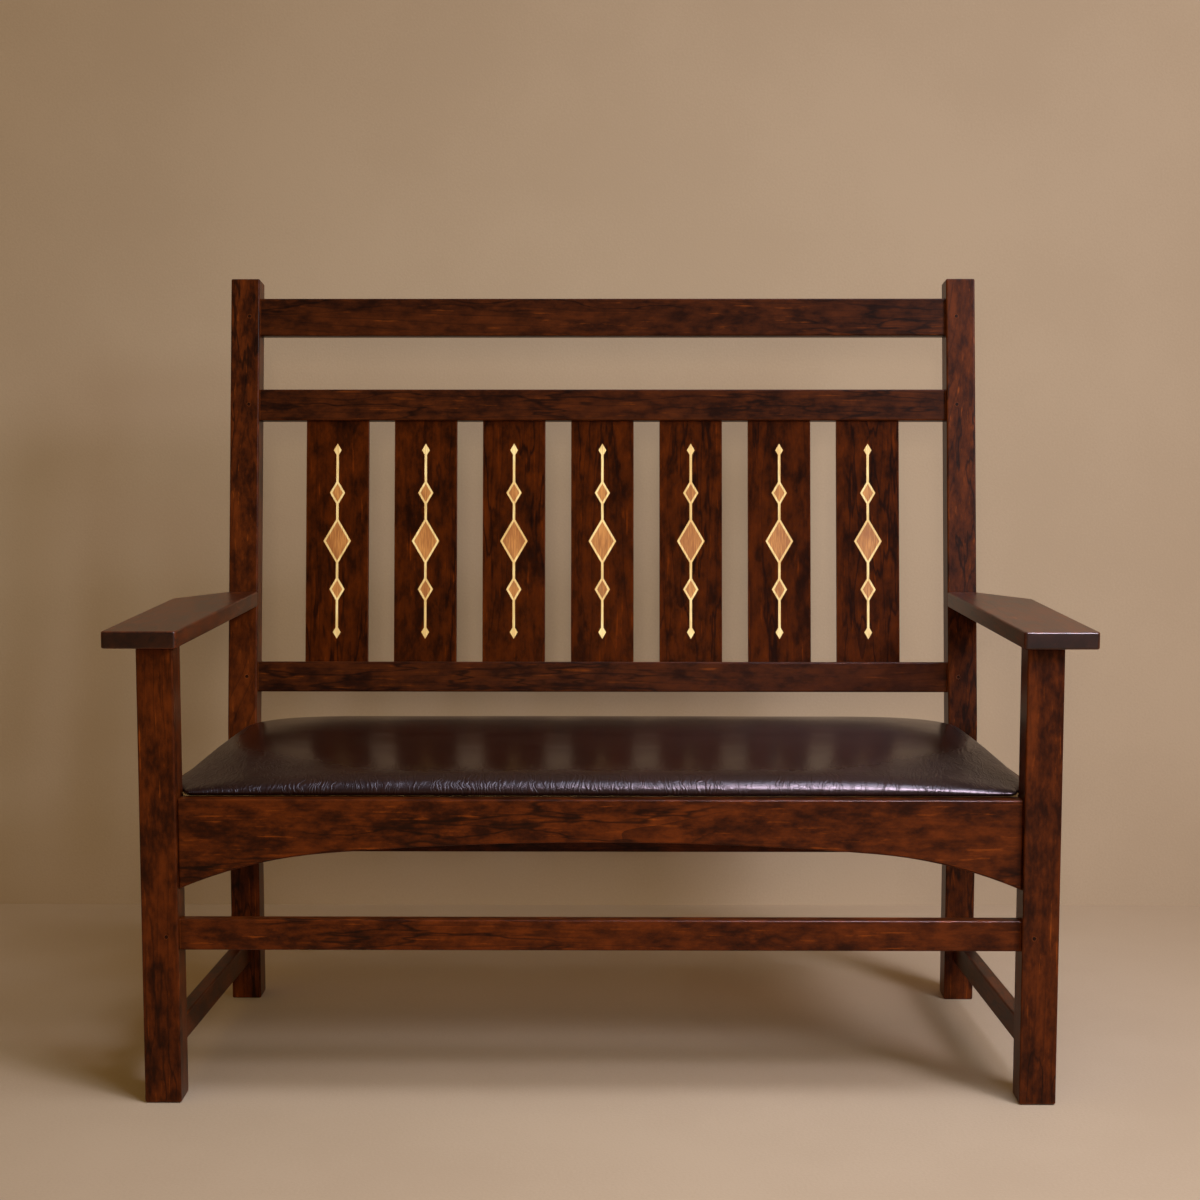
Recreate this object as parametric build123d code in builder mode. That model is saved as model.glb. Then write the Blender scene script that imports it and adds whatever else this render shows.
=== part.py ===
from build123d import *
from math import cos, hypot, radians, sin, tan
from typing import NamedTuple
import os

# Settee with a leaning slatted back, flat arms and a leather slip seat, in millimetres.
# +X is to the right as seen from the front, -Y is the front, +Z is up.
# The origin is on the floor under the middle of the whole object's box.

# Stance
height = 1105
front_width = 1198
back_width = 1142
leg_span = 483
kink_height = 420
back_lean = 7.9
bend_radius = 150

# Legs and posts
leg_size = 48
post_width = 44
post_depth = 45
leg_edge = 2.5
foot_edge = 2.5

# Joinery shared by all frames
joint_clearance = 0.1
tenon_end_gap = 1
tenon_thickness = 10
tenon_shoulder = 6
tenon_length = 26
rail_edge = 2.5
overrun = 1

# Back rails, measured along the leaning face of the posts
back_rail_setback = 8
back_rail_thickness = 22
lower_rail_rise = 73.15
lower_rail_height = 46
upper_rail_height = 48
back_gap = 83
crest_rail_height = 57.5
crest_rail_drop = 29.06

# Slats
slat_count = 7
slat_width = 96
slat_end_gap = 71.6
slat_thickness = 10
slat_tenon = 10
slat_edge = 1.2

# Inlay of each slat: lozenges on a line, let into the slat's face
inlay_depth = 1.2
inlay_clearance = 0.05
inlay_line = 3.6
inlay_end_gap = 45.25
lozenge_border = 3
lozenge_half_length = 36
lozenge_half_width = 21
lozenge_step_share = 0.53
small_lozenge_share = 0.55
end_lozenge_share = 0.28

# Seat rails
seat_rail_top = 404.5
seat_rail_setback = 10
seat_rail_thickness = 22
front_rail_end_height = 119.5
front_rail_waist = 57
arch_shoulder = 360
arch_shoulder_drop = 15
side_rail_height = 100
back_rail_height = 100
back_seat_rail_setback = 15
side_tenon = 18

# Stretchers
stretcher_thickness = 20
front_stretcher_low = 203
front_stretcher_height = 41
front_stretcher_setback = 12
back_stretcher_low = 227
back_stretcher_height = 40
side_stretcher_low = 59.5
side_stretcher_height = 35.5
side_stretcher_front_inset = 11
side_stretcher_back_inset = 13.5

# Pegs through the tenons
peg_radius = 2.6
peg_length = 24
peg_edge_distance = 15.5

# Arms
arm_top = 628
arm_thickness = 22.5
arm_width = 97
arm_inner_overhang = 9
arm_nose = 21
arm_shoulder = 104
arm_shoulder_reach = 65
arm_corner = 5
arm_edge = 2.5
arm_tenon_width = 28
arm_tenon_length = 20
leg_tenon_size = 30
leg_tenon_height = 14

# Slip seat
seat_gap = 1
leg_notch_gap = 2
seat_roll = 8
roll_gap = 0.5
seat_corner = 12
leather = 1.5
hem = 25
foam_gap = 0.3
seat_crown = 452
crown_drop = 3
crown_margin = 2
lip_in = 6
lip_height = 19
end_shoulder = 125
front_shoulder = 75
seat_frame_thickness = 19
seat_frame_width = 62
seat_brace_width = 50
brace_lap = 31
deck_thickness = 4

# Blocks and ledgers under the slip seat
block_reach = 86
block_height = 38
ledger_thickness = 18
ledger_height = 24
ledger_gap = 3

# Screws and tacks
screw_radius = 2
screw_head_radius = 4.2
screw_head_height = 3
screw_bite = 12
screw_clearance = 0.1
block_screw_share = 0.45
block_screw_stand = 18
block_screw_stagger = 7
seat_screw_inset = 14
seat_screw_recess = 12
screw_slot = 1
ledger_screw_count = 5
ledger_screw_inset = 50
tack_radius = 0.8
tack_head_radius = 3
tack_head_height = 1
tack_bite = 7
tack_pitch = 62
tack_inset = 21

# Places worked out from the sizes above
lean = radians(back_lean)
overall_depth = arm_nose + leg_span + (height - kink_height) * tan(lean) + post_depth * cos(lean)
front_face = arm_nose - overall_depth / 2
post_face = front_face + leg_span
leg_back = front_face + leg_size
leg_outer = front_width / 2
leg_inner = leg_outer - leg_size
post_outer = back_width / 2
post_inner = post_outer - post_width
arm_bottom = arm_top - arm_thickness
seat_frame_low = seat_rail_top - seat_frame_thickness
hem_low = seat_frame_low - leather
deck_top = seat_rail_top + deck_thickness
roll_low = seat_rail_top + roll_gap
lower_rail_low = (seat_rail_top - kink_height) / cos(lean) + lower_rail_rise
lower_rail_high = lower_rail_low + lower_rail_height
crest_rail_high = (height - kink_height) / cos(lean) - crest_rail_drop
crest_rail_low = crest_rail_high - crest_rail_height
upper_rail_high = crest_rail_low - back_gap
upper_rail_low = upper_rail_high - upper_rail_height
slat_setback = back_rail_setback + (back_rail_thickness - slat_thickness) / 2
slat_pitch = (2 * post_inner - 2 * slat_end_gap - slat_width) / (slat_count - 1)
inlay_middle = (lower_rail_high + upper_rail_low) / 2
inlay_reach = (upper_rail_low - lower_rail_high) / 2 - inlay_end_gap
lozenge_step = lozenge_step_share * inlay_reach
sides = {"left": -1, "right": 1}

# Each plane faces the front: its x is the row's X and its y runs up the frame.
front_plane = Plane(origin=(0, front_face, 0), x_dir=(1, 0, 0), z_dir=(0, -1, 0))
rear_plane = Plane(origin=(0, post_face, 0), x_dir=(1, 0, 0), z_dir=(0, -1, 0))
back_plane = Plane(
    origin=(0, post_face, kink_height), x_dir=(1, 0, 0), z_dir=(0, -cos(lean), sin(lean))
)


class Rail(NamedTuple):
    """A rail that runs across the settee between two legs or posts."""

    plane: Plane
    inner: float
    low: float
    high: float
    setback: float
    thickness: float


class SideRail(NamedTuple):
    """A rail that runs from a front leg to a back post, closer in at the back."""

    front_inner: float
    back_inner: float
    low: float
    high: float
    thickness: float


lower_back_rail = Rail(
    back_plane, post_inner, lower_rail_low, lower_rail_high, back_rail_setback, back_rail_thickness
)
upper_back_rail = Rail(
    back_plane, post_inner, upper_rail_low, upper_rail_high, back_rail_setback, back_rail_thickness
)
crest_rail = Rail(
    back_plane, post_inner, crest_rail_low, crest_rail_high, back_rail_setback, back_rail_thickness
)
front_seat_rail = Rail(
    front_plane, leg_inner, seat_rail_top - front_rail_end_height, seat_rail_top,
    seat_rail_setback, seat_rail_thickness,
)
back_seat_rail = Rail(
    rear_plane, post_inner, seat_rail_top - back_rail_height, seat_rail_top,
    back_seat_rail_setback, seat_rail_thickness,
)
front_stretcher = Rail(
    front_plane, leg_inner, front_stretcher_low, front_stretcher_low + front_stretcher_height,
    front_stretcher_setback, stretcher_thickness,
)
back_stretcher = Rail(
    rear_plane, post_inner, back_stretcher_low, back_stretcher_low + back_stretcher_height,
    back_seat_rail_setback, stretcher_thickness,
)
side_seat_rail = SideRail(
    leg_outer - seat_rail_setback - seat_rail_thickness,
    post_outer - seat_rail_setback - seat_rail_thickness,
    seat_rail_top - side_rail_height, seat_rail_top, seat_rail_thickness,
)
side_stretcher = SideRail(
    leg_inner + side_stretcher_front_inset, post_inner + side_stretcher_back_inset,
    side_stretcher_low, side_stretcher_low + side_stretcher_height, stretcher_thickness,
)
post_rails = (lower_back_rail, upper_back_rail, crest_rail, back_seat_rail, back_stretcher)
leg_rails = (front_seat_rail, front_stretcher)
side_rails = (side_seat_rail, side_stretcher)
pegged_rails = (lower_back_rail, upper_back_rail, crest_rail, front_stretcher)


def save(piece, name):
    """Labels a finished piece and writes its file."""
    piece.part.label = name
    export_step(piece.part, f"parts/{name}.step")


def slab(points, low, high):
    """A flat piece with a straight-sided plan, from one height to another."""
    with BuildPart() as piece:
        with BuildSketch(Plane.XY.offset(low)):
            with BuildLine():
                Polyline(*points, close=True)
            make_face()
        extrude(amount=high - low)
    return piece.part


def rail_bar(rail, inner, low, high, setback, thickness):
    """A bar in a rail's own plane, as long each way as inner."""
    with BuildPart() as piece:
        with BuildSketch(rail.plane.offset(-setback)):
            with Locations((0, (low + high) / 2)):
                Rectangle(2 * inner, high - low)
        extrude(amount=-thickness)
    return piece.part


def rail_tenon(rail, grow=0, gap=0):
    """Both tenons of a rail as one bar, or with grow and gap the mortises for them."""
    setback = rail.setback + (rail.thickness - tenon_thickness) / 2
    return rail_bar(
        rail, rail.inner + tenon_length + gap, rail.low + tenon_shoulder - grow,
        rail.high - tenon_shoulder + grow, setback - grow, tenon_thickness + 2 * grow,
    )


def side_inner(rail, y):
    """How far out a side rail's inner face stands at a depth."""
    share = (y - leg_back) / (post_face - leg_back)
    return rail.front_inner + (rail.back_inner - rail.front_inner) * share


def side_bar(rail, side, inset, reach, low, high):
    """A side rail's bar, inset each side of its thickness and longer by reach at both ends."""
    near = leg_back - reach
    far = post_face + reach
    points = [
        (side * (side_inner(rail, near) + inset), near),
        (side * (side_inner(rail, near) + rail.thickness - inset), near),
        (side * (side_inner(rail, far) + rail.thickness - inset), far),
        (side * (side_inner(rail, far) + inset), far),
    ]
    return slab(points, low, high)


def side_tenons(rail, side, grow=0, gap=0):
    """Both tenons of a side rail as one bar, or with grow and gap the mortises for them."""
    inset = (rail.thickness - tenon_thickness) / 2 - grow
    return side_bar(
        rail, side, inset, side_tenon + gap,
        rail.low + tenon_shoulder - grow, rail.high - tenon_shoulder + grow,
    )


def pegs(grow=0):
    """The pegs that lock the tenons, driven in from the front faces of legs and posts."""
    with BuildPart() as pins:
        for rail in pegged_rails:
            for side in sides.values():
                middle = (side * (rail.inner + peg_edge_distance), (rail.low + rail.high) / 2)
                with BuildSketch(rail.plane):
                    with Locations(middle):
                        Circle(peg_radius + grow)
                extrude(amount=-peg_length - grow)
    return pins


def seat_plan(inset=0, roll=0):
    """Corners of the slip seat's plan, with the notches for legs and posts.

    The plan shrinks by inset all round, and roll widens it over the rails but not into the notches.
    """
    near = front_face + seat_rail_setback + seat_rail_thickness + seat_gap - roll + inset
    far = post_face + back_seat_rail_setback - seat_gap + roll - inset
    leg_x = leg_inner - leg_notch_gap - inset
    leg_y = leg_back + leg_notch_gap + inset
    post_x = post_inner - leg_notch_gap - inset
    post_y = post_face - leg_notch_gap - inset
    side_trim = seat_gap - roll + inset
    half = [
        (leg_x, near),
        (leg_x, leg_y),
        (side_inner(side_seat_rail, leg_y) - side_trim, leg_y),
        (side_inner(side_seat_rail, post_y) - side_trim, post_y),
        (post_x, post_y),
        (post_x, far),
    ]
    return half + [(-x, y) for x, y in reversed(half)]


def crown_line(middle, half, shoulder, inset, top, drop):
    """The closed section of the padded seat: a rolled lip, a shoulder and a crown that falls by drop."""
    low = roll_low + inset
    edge = top - inset - drop
    crown_half = half - shoulder
    lip = half - inset - lip_in
    lip_top = roll_low + lip_height
    roll_side = half - inset
    roll_foot = half - seat_roll
    roll_middle = low + seat_roll
    ends = (middle - crown_half, edge), (middle + crown_half, edge)
    crown = ThreePointArc(ends[0], (middle, top - inset), ends[1]) if drop else Line(*ends)
    TangentArc(ends[1], (middle + lip, lip_top), tangent=crown % 1)
    TangentArc(ends[0], (middle - lip, lip_top), tangent=-(crown % 0))
    ThreePointArc((middle + lip, lip_top), (middle + roll_side, roll_middle), (middle + roll_foot, low))
    ThreePointArc((middle - lip, lip_top), (middle - roll_side, roll_middle), (middle - roll_foot, low))
    Line((middle - roll_foot, low), (middle + roll_foot, low))


def pad_form(inset=0):
    """The crowned pad above the seat rails, shrunk by inset all round."""
    plan = seat_plan(inset, seat_roll)
    near = plan[0][1]
    far = plan[5][1]
    outer_near = side_inner(side_seat_rail, near + inset) - seat_gap + seat_roll
    outer_far = side_inner(side_seat_rail, far - inset) - seat_gap + seat_roll
    with BuildPart() as pad:
        # Crowned from side to side, narrower at the back
        for y, half in ((near - overrun, outer_near), (far + overrun, outer_far)):
            with BuildSketch(Plane(origin=(0, y, 0), x_dir=(1, 0, 0), z_dir=(0, -1, 0))):
                with BuildLine():
                    crown_line(0, half, end_shoulder, inset, seat_crown + crown_margin, 0)
                make_face()
        loft(ruled=True)
        # Crowned from front to back
        with BuildSketch(Plane.YZ.offset(-leg_outer)):
            with BuildLine():
                crown_line(
                    (near + far) / 2, (far - near) / 2 + inset, front_shoulder, inset, seat_crown, crown_drop
                )
            make_face()
        extrude(amount=2 * leg_outer, mode=Mode.INTERSECT)
        # Notched round the legs and posts, with soft corners
        with BuildSketch(Plane.XY.offset(roll_low)) as outline:
            with BuildLine():
                Polyline(*seat_plan(inset, seat_roll + overrun), close=True)
            make_face()
            corners = [corner for corner in outline.vertices() if not in_notch(corner, plan)]
            fillet(corners, seat_corner)
        extrude(amount=seat_crown - roll_low + overrun, mode=Mode.INTERSECT)
    return pad.part


def in_notch(corner, plan):
    """Whether a corner of the seat's plan is the inner corner of a notch."""
    return any(
        abs(abs(corner.X) - x) < joint_clearance and abs(corner.Y - y) < joint_clearance
        for x, y in (plan[1], plan[4])
    )


def front_leg(side):
    """A square leg that runs from the floor to a tenon under the arm."""
    middle = (side * (leg_inner + leg_size / 2), front_face + leg_size / 2)
    with BuildPart() as leg:
        with BuildSketch():
            with Locations(middle):
                Rectangle(leg_size, leg_size)
        extrude(amount=arm_bottom)
        fillet(leg.edges().filter_by(Axis.Z), leg_edge)
        chamfer(leg.faces().sort_by(Axis.Z)[0].edges(), foot_edge)
        with BuildSketch(Plane.XY.offset(arm_bottom)):
            with Locations(middle):
                Rectangle(leg_tenon_size, leg_tenon_size)
        extrude(amount=leg_tenon_height)
        for rail in leg_rails:
            add(rail_tenon(rail, joint_clearance, tenon_end_gap), mode=Mode.SUBTRACT)
        for rail in side_rails:
            add(side_tenons(rail, side, joint_clearance, tenon_end_gap), mode=Mode.SUBTRACT)
        add(peg_holes, mode=Mode.SUBTRACT)
    return leg


def back_post(side):
    """A post that stands straight to the seat and leans back from there."""
    low_x = post_inner if side > 0 else -post_outer
    top_face = post_face + (height - kink_height) * tan(lean)
    with BuildPart() as post:
        with BuildSketch(Plane.YZ.offset(low_x)) as profile:
            with BuildLine():
                Polyline(
                    (post_face, 0),
                    (post_face, kink_height),
                    (top_face, height),
                    (top_face + post_depth * cos(lean), height - post_depth * sin(lean)),
                    (post_face + post_depth, kink_height - post_depth * tan(lean / 2)),
                    (post_face + post_depth, 0),
                    close=True,
                )
            make_face()
            fillet(profile.vertices().group_by(Axis.Y)[1:3], bend_radius)
        extrude(amount=post_width)
        rims = post.faces().sort_by(Axis.X)[0].edges() + post.faces().sort_by(Axis.X)[-1].edges()
        ends = post.edges().filter_by(Axis.X).group_by(Axis.Z)
        fillet(rims + ends[0] + ends[-1] + ends[-2], leg_edge)
        for rail in post_rails:
            add(rail_tenon(rail, joint_clearance, tenon_end_gap), mode=Mode.SUBTRACT)
        for rail in side_rails:
            add(side_tenons(rail, side, joint_clearance, tenon_end_gap), mode=Mode.SUBTRACT)
        add(arm_tenon(side, joint_clearance, tenon_end_gap), mode=Mode.SUBTRACT)
        add(peg_holes, mode=Mode.SUBTRACT)
    return post


def plain_rail(rail):
    """A straight rail with eased edges and a tenon at each end."""
    with BuildPart() as piece:
        add(rail_bar(rail, rail.inner, rail.low, rail.high, rail.setback, rail.thickness))
        fillet(piece.edges().filter_by(Axis.X), rail_edge)
        add(rail_tenon(rail))
        add(peg_holes, mode=Mode.SUBTRACT)
    return piece


def arched_rail(rail):
    """The front seat rail: its lower edge rises in a flat arch between two tighter ends."""
    crown = rail.high - front_rail_waist
    with BuildPart() as piece:
        add(rail_bar(rail, rail.inner, rail.low, rail.high, rail.setback, rail.thickness))
        fillet(piece.edges().filter_by(Axis.X).group_by(Axis.Z)[-1], rail_edge)
        add(rail_tenon(rail))
        with BuildSketch(rail.plane.offset(-rail.setback)):
            with BuildLine():
                flat = ThreePointArc(
                    (-arch_shoulder, crown - arch_shoulder_drop),
                    (0, crown),
                    (arch_shoulder, crown - arch_shoulder_drop),
                )
                TangentArc(flat @ 1, (rail.inner, rail.low), tangent=flat % 1)
                TangentArc(flat @ 0, (-rail.inner, rail.low), tangent=-(flat % 0))
                Line((-rail.inner, rail.low), (rail.inner, rail.low))
            make_face()
        extrude(amount=-rail.thickness, mode=Mode.SUBTRACT)
        fillet(piece.edges().filter_by(GeomType.CIRCLE).filter_by(Axis.X, reverse=True), rail_edge)
    return piece


def side_rail(rail, side):
    """A side rail or side stretcher with eased edges and angled tenons."""
    with BuildPart() as piece:
        add(side_bar(rail, side, 0, 0, rail.low, rail.high))
        long_edges = piece.edges().filter_by(lambda edge: edge.length > leg_span / 2)
        fillet(long_edges, rail_edge)
        add(side_tenons(rail, side))
    return piece


def slat_places():
    """How far each slat's middle stands from the middle of the back."""
    return [(number - (slat_count - 1) / 2) * slat_pitch for number in range(slat_count)]


def slat_bar(x, grow=0):
    """A slat with the ends that stand in the rails, or with grow the space that it takes."""
    low = lower_back_rail.high - slat_tenon - grow
    high = upper_back_rail.low + slat_tenon + grow
    with BuildPart() as piece:
        with BuildSketch(back_plane.offset(-slat_setback + grow)):
            with Locations((x, (low + high) / 2)):
                Rectangle(slat_width + 2 * grow, high - low)
        extrude(amount=-slat_thickness - 2 * grow)
    return piece.part


def slatted_rail(rail):
    """A plain rail with a mortise for each slat."""
    with BuildPart() as piece:
        add(plain_rail(rail).part)
        for x in slat_places():
            add(slat_bar(x, joint_clearance), mode=Mode.SUBTRACT)
    return piece


def inlay_lozenges():
    """Each lozenge's place up the slat and its size as a share of the middle one."""
    return [
        (-inlay_reach, end_lozenge_share),
        (-lozenge_step, small_lozenge_share),
        (0, 1),
        (lozenge_step, small_lozenge_share),
        (inlay_reach, end_lozenge_share),
    ]


def lozenge(x, y, share, margin=0, mode=Mode.ADD):
    """A lozenge in the current sketch, widened all round by margin."""
    half_width = share * lozenge_half_width
    half_length = share * lozenge_half_length
    scale = 1 + margin * hypot(half_width, half_length) / (half_width * half_length)
    with Locations((x, y)):
        Polygon(
            (-scale * half_width, 0),
            (0, -scale * half_length),
            (scale * half_width, 0),
            (0, scale * half_length),
            mode=mode,
        )


def inlay_line_solid(x, grow=0):
    """The light inlay of one slat as a solid shape with its lozenges filled."""
    with BuildPart() as piece:
        with BuildSketch(back_plane.offset(-slat_setback)):
            with Locations((x, inlay_middle)):
                Rectangle(inlay_line + 2 * grow, 2 * inlay_reach)
            for place, share in inlay_lozenges():
                lozenge(x, inlay_middle + place, share, grow)
        extrude(amount=-inlay_depth)
    return piece.part


def inlay_field_solid(x, grow=0):
    """The darker fields inside the open lozenges of one slat."""
    with BuildPart() as piece:
        with BuildSketch(back_plane.offset(-slat_setback)):
            for place, share in inlay_lozenges():
                if share > end_lozenge_share:
                    lozenge(x, inlay_middle + place, share, grow - lozenge_border)
        extrude(amount=-inlay_depth)
    return piece.part


def back_slat(x):
    """A slat with eased edges and the recess for its inlay."""
    with BuildPart() as piece:
        add(slat_bar(x))
        upright = piece.edges().filter_by(lambda edge: edge.length > upper_rail_low - lower_rail_high)
        fillet(upright, slat_edge)
        add(inlay_line_solid(x, inlay_clearance), mode=Mode.SUBTRACT)
    return piece


def inlay_line_piece(x):
    """The light lines and borders of one slat's inlay."""
    with BuildPart() as piece:
        add(inlay_line_solid(x))
        add(inlay_field_solid(x, inlay_clearance), mode=Mode.SUBTRACT)
    return piece


def inlay_field_piece(x):
    """The darker lozenges of one slat's inlay."""
    with BuildPart() as piece:
        add(inlay_field_solid(x))
    return piece


def arm_tenon(side, grow=0, gap=0):
    """The stub tenon from an arm's back end into the post, or its mortise."""
    middle = side * (post_inner + post_width / 2)
    face = post_face + (arm_top - kink_height) * tan(lean)
    low = arm_bottom + (arm_thickness - tenon_thickness) / 2
    half = arm_tenon_width / 2 + grow
    points = [
        (middle - half, face - arm_tenon_length),
        (middle + half, face - arm_tenon_length),
        (middle + half, face + arm_tenon_length + gap),
        (middle - half, face + arm_tenon_length + gap),
    ]
    return slab(points, low - grow, low + tenon_thickness + grow)


def arm(side):
    """A flat arm: parallel at the front, cut in to the post's width at the back."""
    face = post_face + (arm_top - kink_height) * tan(lean)
    inner = leg_inner - arm_inner_overhang
    outer = inner + arm_width
    plan = [
        (side * inner, front_face - arm_nose),
        (side * outer, front_face - arm_nose),
        (side * (post_outer + arm_shoulder_reach), face - arm_shoulder),
        (side * post_outer, face),
        (side * post_inner, face),
    ]
    with BuildPart() as piece:
        add(slab(plan, arm_bottom, arm_top))
        split(bisect_by=back_plane, keep=Keep.TOP)
        upright = piece.edges().filter_by(Axis.Z).sort_by(Axis.Y)
        fillet(upright[:2], arm_corner)
        rims = piece.edges().filter_by(
            lambda edge: edge.bounding_box().size.Z < overrun and edge.center().Y < face - arm_thickness
        )
        fillet(rims, arm_edge)
        with BuildSketch(Plane.XY.offset(arm_bottom)):
            with Locations((side * (leg_inner + leg_size / 2), front_face + leg_size / 2)):
                Rectangle(leg_tenon_size + 2 * joint_clearance, leg_tenon_size + 2 * joint_clearance)
        extrude(amount=leg_tenon_height + tenon_end_gap, mode=Mode.SUBTRACT)
        add(arm_tenon(side))
    return piece


def corner_block(side, front):
    """A block in a corner of the seat rails, cut round the leg or post, with its screw holes."""
    if front:
        rail_y = front_face + seat_rail_setback + seat_rail_thickness
        leg_x, leg_y, into = leg_inner, leg_back, 1
    else:
        rail_y = post_face + back_seat_rail_setback
        leg_x, leg_y, into = post_inner, post_face, -1
    far_y = leg_y + into * block_reach
    points = [
        (side * (leg_x - block_reach), rail_y),
        (side * leg_x, rail_y),
        (side * leg_x, leg_y),
        (side * side_inner(side_seat_rail, leg_y), leg_y),
        (side * side_inner(side_seat_rail, far_y), far_y),
    ]
    with BuildPart() as piece:
        add(slab(points, hem_low - block_height, hem_low))
        add(screw_holes, mode=Mode.SUBTRACT)
    return piece


def ledger_half(front):
    """Half the length of the front or back ledger, which stops short of the corner blocks."""
    return (leg_inner if front else post_inner) - block_reach - ledger_gap


def ledger(front):
    """A strip behind the front or back seat rail that carries the middle of the slip seat."""
    half = ledger_half(front)
    if front:
        low_y = front_face + seat_rail_setback + seat_rail_thickness
    else:
        low_y = post_face + back_seat_rail_setback - ledger_thickness
    high_y = low_y + ledger_thickness
    plan = [(-half, low_y), (half, low_y), (half, high_y), (-half, high_y)]
    with BuildPart() as piece:
        add(slab(plan, hem_low - ledger_height, hem_low))
        add(screw_holes, mode=Mode.SUBTRACT)
    return piece


def block_screw_places():
    """Where the corner blocks' screws stand: the plane under each head and the shank's length."""
    middle = hem_low - block_height / 2
    stagger = block_screw_stagger
    places = []
    for side in sides.values():
        for leg_x, leg_y, rail_y, into in (
            (leg_inner, leg_back, front_face + seat_rail_setback + seat_rail_thickness, 1),
            (post_inner, post_face, post_face + back_seat_rail_setback, -1),
        ):
            across_x = side * (leg_x - block_screw_share * block_reach)
            across = Plane(
                origin=(across_x, rail_y + into * block_screw_stand, middle + stagger), z_dir=(0, into, 0)
            )
            along_y = leg_y + into * block_screw_share * block_reach
            along_x = side * (side_inner(side_seat_rail, along_y) - block_screw_stand)
            along = Plane(origin=(along_x, along_y, middle - stagger), z_dir=(-side, 0, 0))
            places += [(across, block_screw_stand + screw_bite), (along, block_screw_stand + screw_bite)]
    return places


def seat_screw_places():
    """Where the screws stand that hold the slip seat down on the corner blocks."""
    head_z = hem_low - block_height + seat_screw_recess
    shank = hem_low - head_z + leather + screw_bite
    places = []
    for side in sides.values():
        for leg_x, leg_y, into in ((leg_inner, leg_back, 1), (post_inner, post_face, -1)):
            origin = (side * (leg_x - seat_screw_inset), leg_y + into * seat_screw_inset, head_z)
            places.append((Plane(origin=origin, z_dir=(0, 0, -1)), shank))
    return places


def ledger_screw_places():
    """Where the screws stand that hold the ledgers to the seat rails."""
    z = hem_low - ledger_height / 2
    places = []
    for face_y, out, front in (
        (front_face + seat_rail_setback + seat_rail_thickness, 1, True),
        (post_face + back_seat_rail_setback, -1, False),
    ):
        head_y = face_y + out * (ledger_thickness - screw_head_height)
        pitch = 2 * (ledger_half(front) - ledger_screw_inset) / (ledger_screw_count - 1)
        for number in range(ledger_screw_count):
            x = (number - (ledger_screw_count - 1) / 2) * pitch
            plane = Plane(origin=(x, head_y, z), z_dir=(0, out, 0))
            places.append((plane, ledger_thickness - screw_head_height + screw_bite))
    return places


def screws(places, grow=0, bore=0):
    """A group of slotted screws, or with grow and bore the holes and counterbores for them."""
    with BuildPart() as group:
        for plane, shank in places:
            with BuildSketch(plane):
                Circle(screw_radius + grow)
            extrude(amount=-shank - grow)
            with BuildSketch(plane):
                Circle(screw_head_radius + grow)
            extrude(amount=screw_head_height + bore)
            if not grow:
                with BuildSketch(plane.offset(screw_head_height)):
                    Rectangle(2 * screw_head_radius, screw_slot)
                extrude(amount=-screw_slot, mode=Mode.SUBTRACT)
    return group


def tack_places():
    """Where the cover's tacks stand, along the front, the back and both sides of the frame."""
    plan = seat_plan()
    places = []
    for y, inner in ((plan[0][1] + tack_inset, leg_inner), (plan[5][1] - tack_inset, post_inner)):
        count = int(2 * (inner - block_reach - tack_inset) / tack_pitch) + 1
        places += [((number - (count - 1) / 2) * tack_pitch, y) for number in range(count)]
    low_y = leg_back + block_reach + tack_inset
    high_y = post_face - block_reach - tack_inset
    side_count = int((high_y - low_y) / tack_pitch) + 1
    for side in sides.values():
        for number in range(side_count):
            y = (low_y + high_y) / 2 + (number - (side_count - 1) / 2) * tack_pitch
            places.append((side * (side_inner(side_seat_rail, y) - seat_gap - tack_inset), y))
    return places


def tacks(grow=0):
    """The tacks that hold the cover's hem under the frame, or with grow their holes."""
    with BuildPart() as group:
        with BuildSketch(Plane.XY.offset(hem_low)):
            with Locations(*tack_places()):
                Circle(tack_radius + grow)
        extrude(amount=tack_bite + grow)
        if not grow:
            with BuildSketch(Plane.XY.offset(hem_low)):
                with Locations(*tack_places()):
                    Circle(tack_head_radius)
            extrude(amount=-tack_head_height)
    return group


def frame_band(side=0, front=True):
    """The strip of the seat's plan that a frame member covers, as a full-height slab."""
    plan = seat_plan(leather)
    near, far = plan[0][1], plan[5][1]
    if side:
        edges = [side_inner(side_seat_rail, y) - seat_gap - leather for y in (near, far)]
        points = [
            (side * (edges[0] - seat_frame_width), near - overrun),
            (side * leg_outer, near - overrun),
            (side * leg_outer, far + overrun),
            (side * (edges[1] - seat_frame_width), far + overrun),
        ]
    else:
        low_y = near - overrun if front else far - seat_frame_width
        high_y = near + seat_frame_width if front else far + overrun
        points = [(-leg_outer, low_y), (leg_outer, low_y), (leg_outer, high_y), (-leg_outer, high_y)]
    return points


def cross_member(front):
    """The front or back member of the seat frame, halved over the sides and the brace."""
    plan = seat_plan(leather)
    half_z = seat_frame_low + seat_frame_thickness / 2
    band = slab(frame_band(front=front), seat_frame_low, seat_rail_top)
    with BuildPart() as piece:
        add(slab(plan, seat_frame_low, seat_rail_top))
        add(band, mode=Mode.INTERSECT)
        for side in sides.values():
            add(slab(frame_band(side), seat_frame_low - overrun, half_z), mode=Mode.SUBTRACT)
        add(brace_blank(half_z, seat_rail_top + overrun, brace_lap), mode=Mode.SUBTRACT)
        cut_frame_holes()
    return piece


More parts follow.
